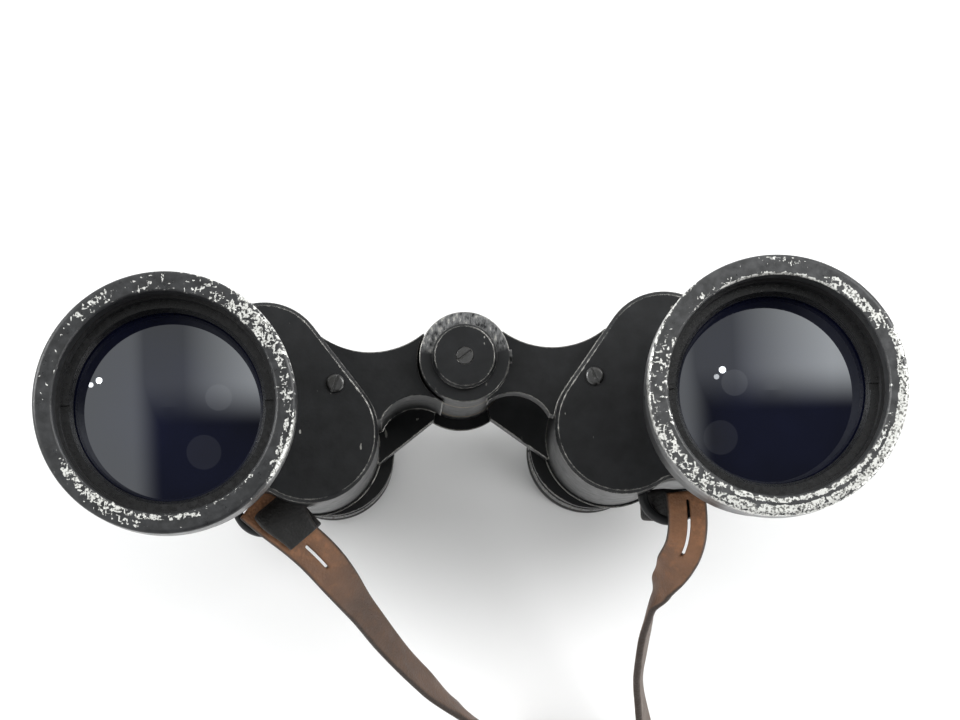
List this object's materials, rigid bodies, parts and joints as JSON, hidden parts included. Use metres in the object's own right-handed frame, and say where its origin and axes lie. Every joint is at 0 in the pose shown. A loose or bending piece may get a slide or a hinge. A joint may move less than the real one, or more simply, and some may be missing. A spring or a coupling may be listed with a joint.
{
  "type": "porro prism binoculars",
  "caption": "Porro prism binoculars with individually focusing eyepieces, a folding hinge bridge, worn objective rims and a leather neck strap.",
  "frame": {"origin": "bottom centre of the binoculars without the strap, on the plane that the eyecups stand on, below the middle between the two objective axes", "axes": "+Z along the optical axes towards the objectives, +X across the two halves, +Y towards the hinge"},
  "size_m": [0.2068, 0.223, 0.164],
  "materials": {
    "black_enamel": "semi-gloss black enamel over cast metal",
    "worn_enamel": "black enamel chipped to bare grey metal at the edges",
    "matt_black": "matt anti-reflection black",
    "dark_steel": "darkened slotted screws",
    "steel": "plain steel",
    "brass": "plain",
    "bakelite": "pressed black bakelite, worn",
    "coated_glass": "blue-violet antireflection coating",
    "optical_glass": "clear optical glass",
    "leather": "brown strap leather with a dark grain side"
  },
  "bodies": {
    "left_half": {"left_cover_screws": "dark_steel", "left_eyepiece_tube": "black_enamel", "left_front_cover": "black_enamel", "left_front_prism": "optical_glass", "left_front_prism_clip": "steel", "left_objective_barrel": "black_enamel", "left_objective_cell": "matt_black", "left_objective_crown": "coated_glass", "left_objective_flint": "coated_glass", "left_objective_rim": "worn_enamel", "left_prism_housing": "black_enamel", "left_rear_cover": "black_enamel", "left_rear_prism": "optical_glass", "left_rear_prism_clip": "steel", "left_retaining_ring": "matt_black", "left_strap_lug": "steel", "hinge_washer_front": "brass", "hinge_washer_rear": "brass", "strap_left": "leather", "strap_coil": "leather", "strap_fold_left": "leather"},
    "right_half": {"right_cover_screws": "dark_steel", "right_eyepiece_tube": "black_enamel", "right_front_cover": "black_enamel", "right_front_prism": "optical_glass", "right_front_prism_clip": "steel", "right_objective_barrel": "black_enamel", "right_objective_cell": "matt_black", "right_objective_crown": "coated_glass", "right_objective_flint": "coated_glass", "right_objective_rim": "worn_enamel", "right_prism_housing": "black_enamel", "right_rear_cover": "black_enamel", "right_rear_prism": "optical_glass", "right_rear_prism_clip": "steel", "right_retaining_ring": "matt_black", "right_strap_lug": "steel", "hinge_axle": "steel", "hinge_cap": "black_enamel", "hinge_cap_screw": "dark_steel", "hinge_lock_screw": "dark_steel", "hinge_rear_disc": "black_enamel", "strap_fold_right": "leather", "strap_right": "leather"},
    "left_ocular": {"left_ocular_cell": "matt_black", "left_field_lens": "optical_glass", "left_eye_lens": "optical_glass", "left_eyecup": "bakelite"},
    "left_focus": {"left_focus_ring": "black_enamel"},
    "right_ocular": {"right_ocular_cell": "matt_black", "right_field_lens": "optical_glass", "right_eye_lens": "optical_glass", "right_eyecup": "bakelite"},
    "right_focus": {"right_focus_ring": "black_enamel"}
  },
  "joints": [
    {"name": "fold", "type": "hinge", "parent": "left_half", "child": "right_half", "pos_m": [0, 0.0152, 0.0605], "axis": [0, 0, 1], "range_deg": [-34, 5.5], "deforming": ["strap_right"]},
    {"name": "left_focus_slide", "type": "slide", "parent": "left_half", "child": "left_ocular", "axis": [0, 0, 1], "range_m": [-0.0023, 0.0023]},
    {"name": "left_focus_turn", "type": "hinge", "parent": "left_ocular", "child": "left_focus", "pos_m": [-0.036, -0.0042, 0.02], "axis": [0, 0, 1], "range_deg": [-70, 70]},
    {"name": "right_focus_slide", "type": "slide", "parent": "right_half", "child": "right_ocular", "axis": [0, 0, 1], "range_m": [-0.0023, 0.0023]},
    {"name": "right_focus_turn", "type": "hinge", "parent": "right_ocular", "child": "right_focus", "pos_m": [0.036, -0.0042, 0.02], "axis": [0, 0, 1], "range_deg": [-70, 70]}
  ],
  "couplings": [
    {"joint": "left_focus_turn", "follows": "left_focus_slide", "rad_per_m": 531.18},
    {"joint": "right_focus_turn", "follows": "right_focus_slide", "rad_per_m": 531.18}
  ]
}
